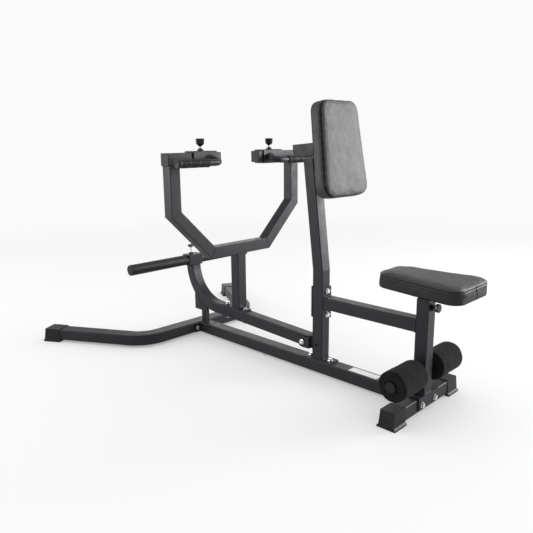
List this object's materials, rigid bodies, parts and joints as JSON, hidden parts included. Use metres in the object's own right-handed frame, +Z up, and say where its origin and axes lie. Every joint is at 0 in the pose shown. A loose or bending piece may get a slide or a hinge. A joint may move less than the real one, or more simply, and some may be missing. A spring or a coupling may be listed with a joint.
{
  "type": "plate-loaded seated row machine",
  "caption": "Plate-loaded seated row with lever arm, U yoke and sliding hook handles, chest pad, tapered seat, foam rollers, weight horns and a swept rear stabilizer.",
  "frame": {"origin": "centre of the bounding box on the floor", "axes": "+X towards the seat end, +Y to the user's right hand, +Z up"},
  "size_m": [1.9012, 1.2482, 1.0825],
  "materials": {
    "frame_coat": "fine textured powder coat",
    "black_plastic": "matte moulded",
    "knob_plastic": "semi-gloss",
    "zinc_steel": "bright zinc",
    "pin_steel": "polished",
    "black_steel": "black oxide",
    "grip_rubber": "textured matte",
    "roller_foam": "closed-cell foam, matte",
    "pad_vinyl": "satin upholstery vinyl",
    "board_wood": "raw plywood",
    "bronze": "sintered",
    "label_white": "printed vinyl, blank"
  },
  "bodies": {
    "base": {"base_rail": "frame_coat", "rear_stabilizer": "frame_coat", "front_foot": "frame_coat", "rail_label": "label_white", "stop_post": "frame_coat", "stop_bumper": "grip_rubber", "upright_post": "frame_coat", "chest_sleeve": "frame_coat", "chest_sleeve_liners": "black_plastic", "pivot_bracket": "frame_coat", "pivot_bolt": "zinc_steel", "back_plate": "frame_coat", "upright_bolts": "zinc_steel", "base_bolts": "zinc_steel", "seat_frame": "frame_coat", "roller_rod": "frame_coat", "roller_end_caps": "black_plastic", "rear_foot_caps": "black_plastic", "front_foot_caps": "black_plastic", "seat_pin_barrel": "black_steel", "chest_pin_barrel": "black_steel"},
    "lever": {"lever_arm": "frame_coat", "lever_gusset": "frame_coat", "horn_socket": "frame_coat", "horn_tube": "frame_coat", "horn_lock_screw": "pin_steel", "horn_screw_handle": "black_steel", "yoke_post": "frame_coat", "lever_bolts": "zinc_steel", "yoke_frame": "frame_coat", "pivot_bushings": "bronze", "horn_liners": "black_plastic", "horn_end_caps": "black_plastic", "yoke_tube_caps": "black_plastic"},
    "handle_left": {"handle_sleeve_left": "frame_coat", "handle_grip_left": "grip_rubber", "handle_left_pin_barrel": "black_steel"},
    "handle_right": {"handle_sleeve_right": "frame_coat", "handle_grip_right": "grip_rubber", "handle_right_pin_barrel": "black_steel"},
    "handle_left_pin": {"handle_left_pin_shaft": "pin_steel", "handle_left_pin_knob": "knob_plastic"},
    "handle_right_pin": {"handle_right_pin_shaft": "pin_steel", "handle_right_pin_knob": "knob_plastic"},
    "seat": {"seat_stem": "frame_coat", "seat_board": "board_wood", "seat_pad": "pad_vinyl", "seat_screws": "zinc_steel"},
    "seat_pin": {"seat_pin_shaft": "pin_steel", "seat_pin_knob": "knob_plastic"},
    "chest_support": {"chest_stem": "frame_coat", "chest_board": "board_wood", "chest_pad": "pad_vinyl", "chest_screws": "zinc_steel"},
    "chest_pin": {"chest_pin_shaft": "pin_steel", "chest_pin_knob": "knob_plastic"},
    "roller_left": {"roller_core_left": "black_plastic", "roller_foam_left": "roller_foam"},
    "roller_right": {"roller_core_right": "black_plastic", "roller_foam_right": "roller_foam"}
  },
  "joints": [
    {"name": "lever_pivot", "type": "hinge", "parent": "base", "child": "lever", "pos_m": [0.24317, 0, 0.127], "axis": [0, 1, 0], "range_deg": [0, 25]},
    {"name": "handle_slide_left", "type": "slide", "parent": "lever", "child": "handle_left", "axis": [0, -1, 0], "range_m": [-0.025, 0.05]},
    {"name": "handle_slide_right", "type": "slide", "parent": "lever", "child": "handle_right", "axis": [0, 1, 0], "range_m": [-0.025, 0.05]},
    {"name": "handle_pin_left", "type": "slide", "parent": "handle_left", "child": "handle_left_pin", "axis": [0, 0, 1], "range_m": [0, 0.008], "stiffness_N_per_m": 500, "springref_m": -0.006},
    {"name": "handle_pin_right", "type": "slide", "parent": "handle_right", "child": "handle_right_pin", "axis": [0, 0, 1], "range_m": [0, 0.008], "stiffness_N_per_m": 500, "springref_m": -0.006},
    {"name": "seat_height", "type": "slide", "parent": "base", "child": "seat", "axis": [0, 0, 1], "range_m": [-0.015, 0.1]},
    {"name": "seat_pin_pull", "type": "slide", "parent": "base", "child": "seat_pin", "axis": [1, 0, 0], "range_m": [0, 0.008], "stiffness_N_per_m": 500, "springref_m": -0.006},
    {"name": "chest_pad_slide", "type": "slide", "parent": "base", "child": "chest_support", "axis": [0.9973, 0, 0.0732], "range_m": [-0.01, 0.06]},
    {"name": "chest_pin_pull", "type": "slide", "parent": "base", "child": "chest_pin", "axis": [0, 1, 0], "range_m": [0, 0.008], "stiffness_N_per_m": 500, "springref_m": -0.006},
    {"name": "roller_spin_left", "type": "hinge", "parent": "base", "child": "roller_left", "pos_m": [0.77517, -0.127, 0.144], "axis": [0, 1, 0], "continuous": true},
    {"name": "roller_spin_right", "type": "hinge", "parent": "base", "child": "roller_right", "pos_m": [0.77517, 0.127, 0.144], "axis": [0, 1, 0], "continuous": true}
  ]
}
